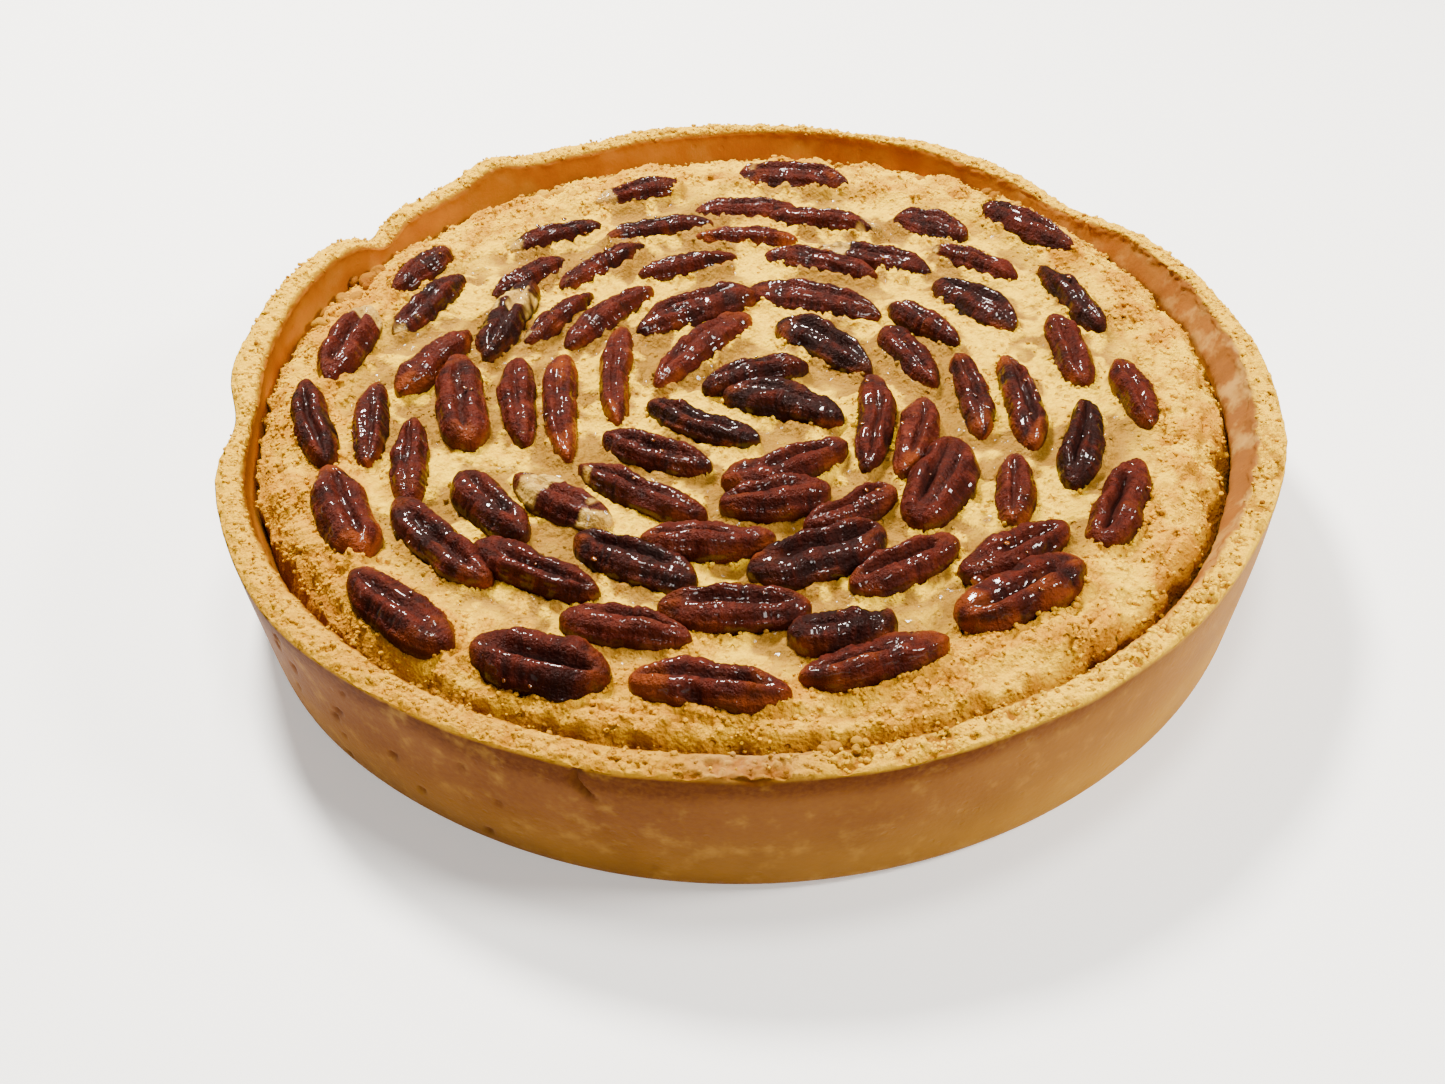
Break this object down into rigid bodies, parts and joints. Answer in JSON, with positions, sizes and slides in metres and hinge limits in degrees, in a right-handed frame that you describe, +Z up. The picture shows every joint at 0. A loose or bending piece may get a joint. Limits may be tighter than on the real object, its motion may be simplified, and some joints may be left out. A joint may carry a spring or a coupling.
{
  "type": "frangipane tart",
  "caption": "Round, straight-sided frangipane tart with an open pastry case, baked almond filling and rings of glazed pecan halves on top.",
  "frame": {"origin": "middle of the underside, on the surface the tart stands on", "axes": "+Z up out of the tart's top; +X to the right and +Y away from the viewer, with the torn place in the rim at the far left"},
  "size_m": [0.2406, 0.2411, 0.0422],
  "materials": {
    "crust": "baked shortcrust, dry and finely pitted, golden brown",
    "filling": "baked almond crumb, dull and porous, pale yellow with browned edge",
    "pecan": "pecan nut under a thin clear syrup glaze, dark red-brown"
  },
  "bodies": {
    "root": {"crust": "crust", "filling": "filling", "pecan_1_01": "pecan", "pecan_1_02": "pecan", "pecan_1_03": "pecan", "pecan_1_04": "pecan", "pecan_1_05": "pecan", "pecan_1_06": "pecan", "pecan_1_07": "pecan", "pecan_1_08": "pecan", "pecan_1_09": "pecan", "pecan_1_10": "pecan", "pecan_1_11": "pecan", "pecan_1_12": "pecan", "pecan_1_13": "pecan", "pecan_1_14": "pecan", "pecan_2_01": "pecan", "pecan_2_02": "pecan", "pecan_2_03": "pecan", "pecan_2_04": "pecan", "pecan_2_05": "pecan", "pecan_2_06": "pecan", "pecan_2_07": "pecan", "pecan_2_08": "pecan", "pecan_2_09": "pecan", "pecan_2_10": "pecan", "pecan_2_11": "pecan", "pecan_3_01": "pecan", "pecan_3_02": "pecan", "pecan_3_03": "pecan", "pecan_3_04": "pecan", "pecan_3_05": "pecan", "pecan_3_06": "pecan", "pecan_3_07": "pecan", "pecan_3_08": "pecan", "pecan_3_09": "pecan", "pecan_3_10": "pecan", "pecan_3_11": "pecan", "pecan_3_12": "pecan", "pecan_3_13": "pecan", "pecan_3_14": "pecan", "pecan_4_01": "pecan", "pecan_4_02": "pecan", "pecan_4_03": "pecan", "pecan_4_04": "pecan", "pecan_4_05": "pecan", "pecan_4_06": "pecan", "pecan_5_01": "pecan", "pecan_5_02": "pecan", "pecan_5_03": "pecan", "pecan_5_04": "pecan", "pecan_5_05": "pecan", "pecan_5_06": "pecan", "pecan_5_07": "pecan", "pecan_5_08": "pecan", "pecan_5_09": "pecan", "pecan_6_01": "pecan", "pecan_6_02": "pecan", "pecan_6_03": "pecan", "pecan_6_04": "pecan"}
  },
  "joints": []
}
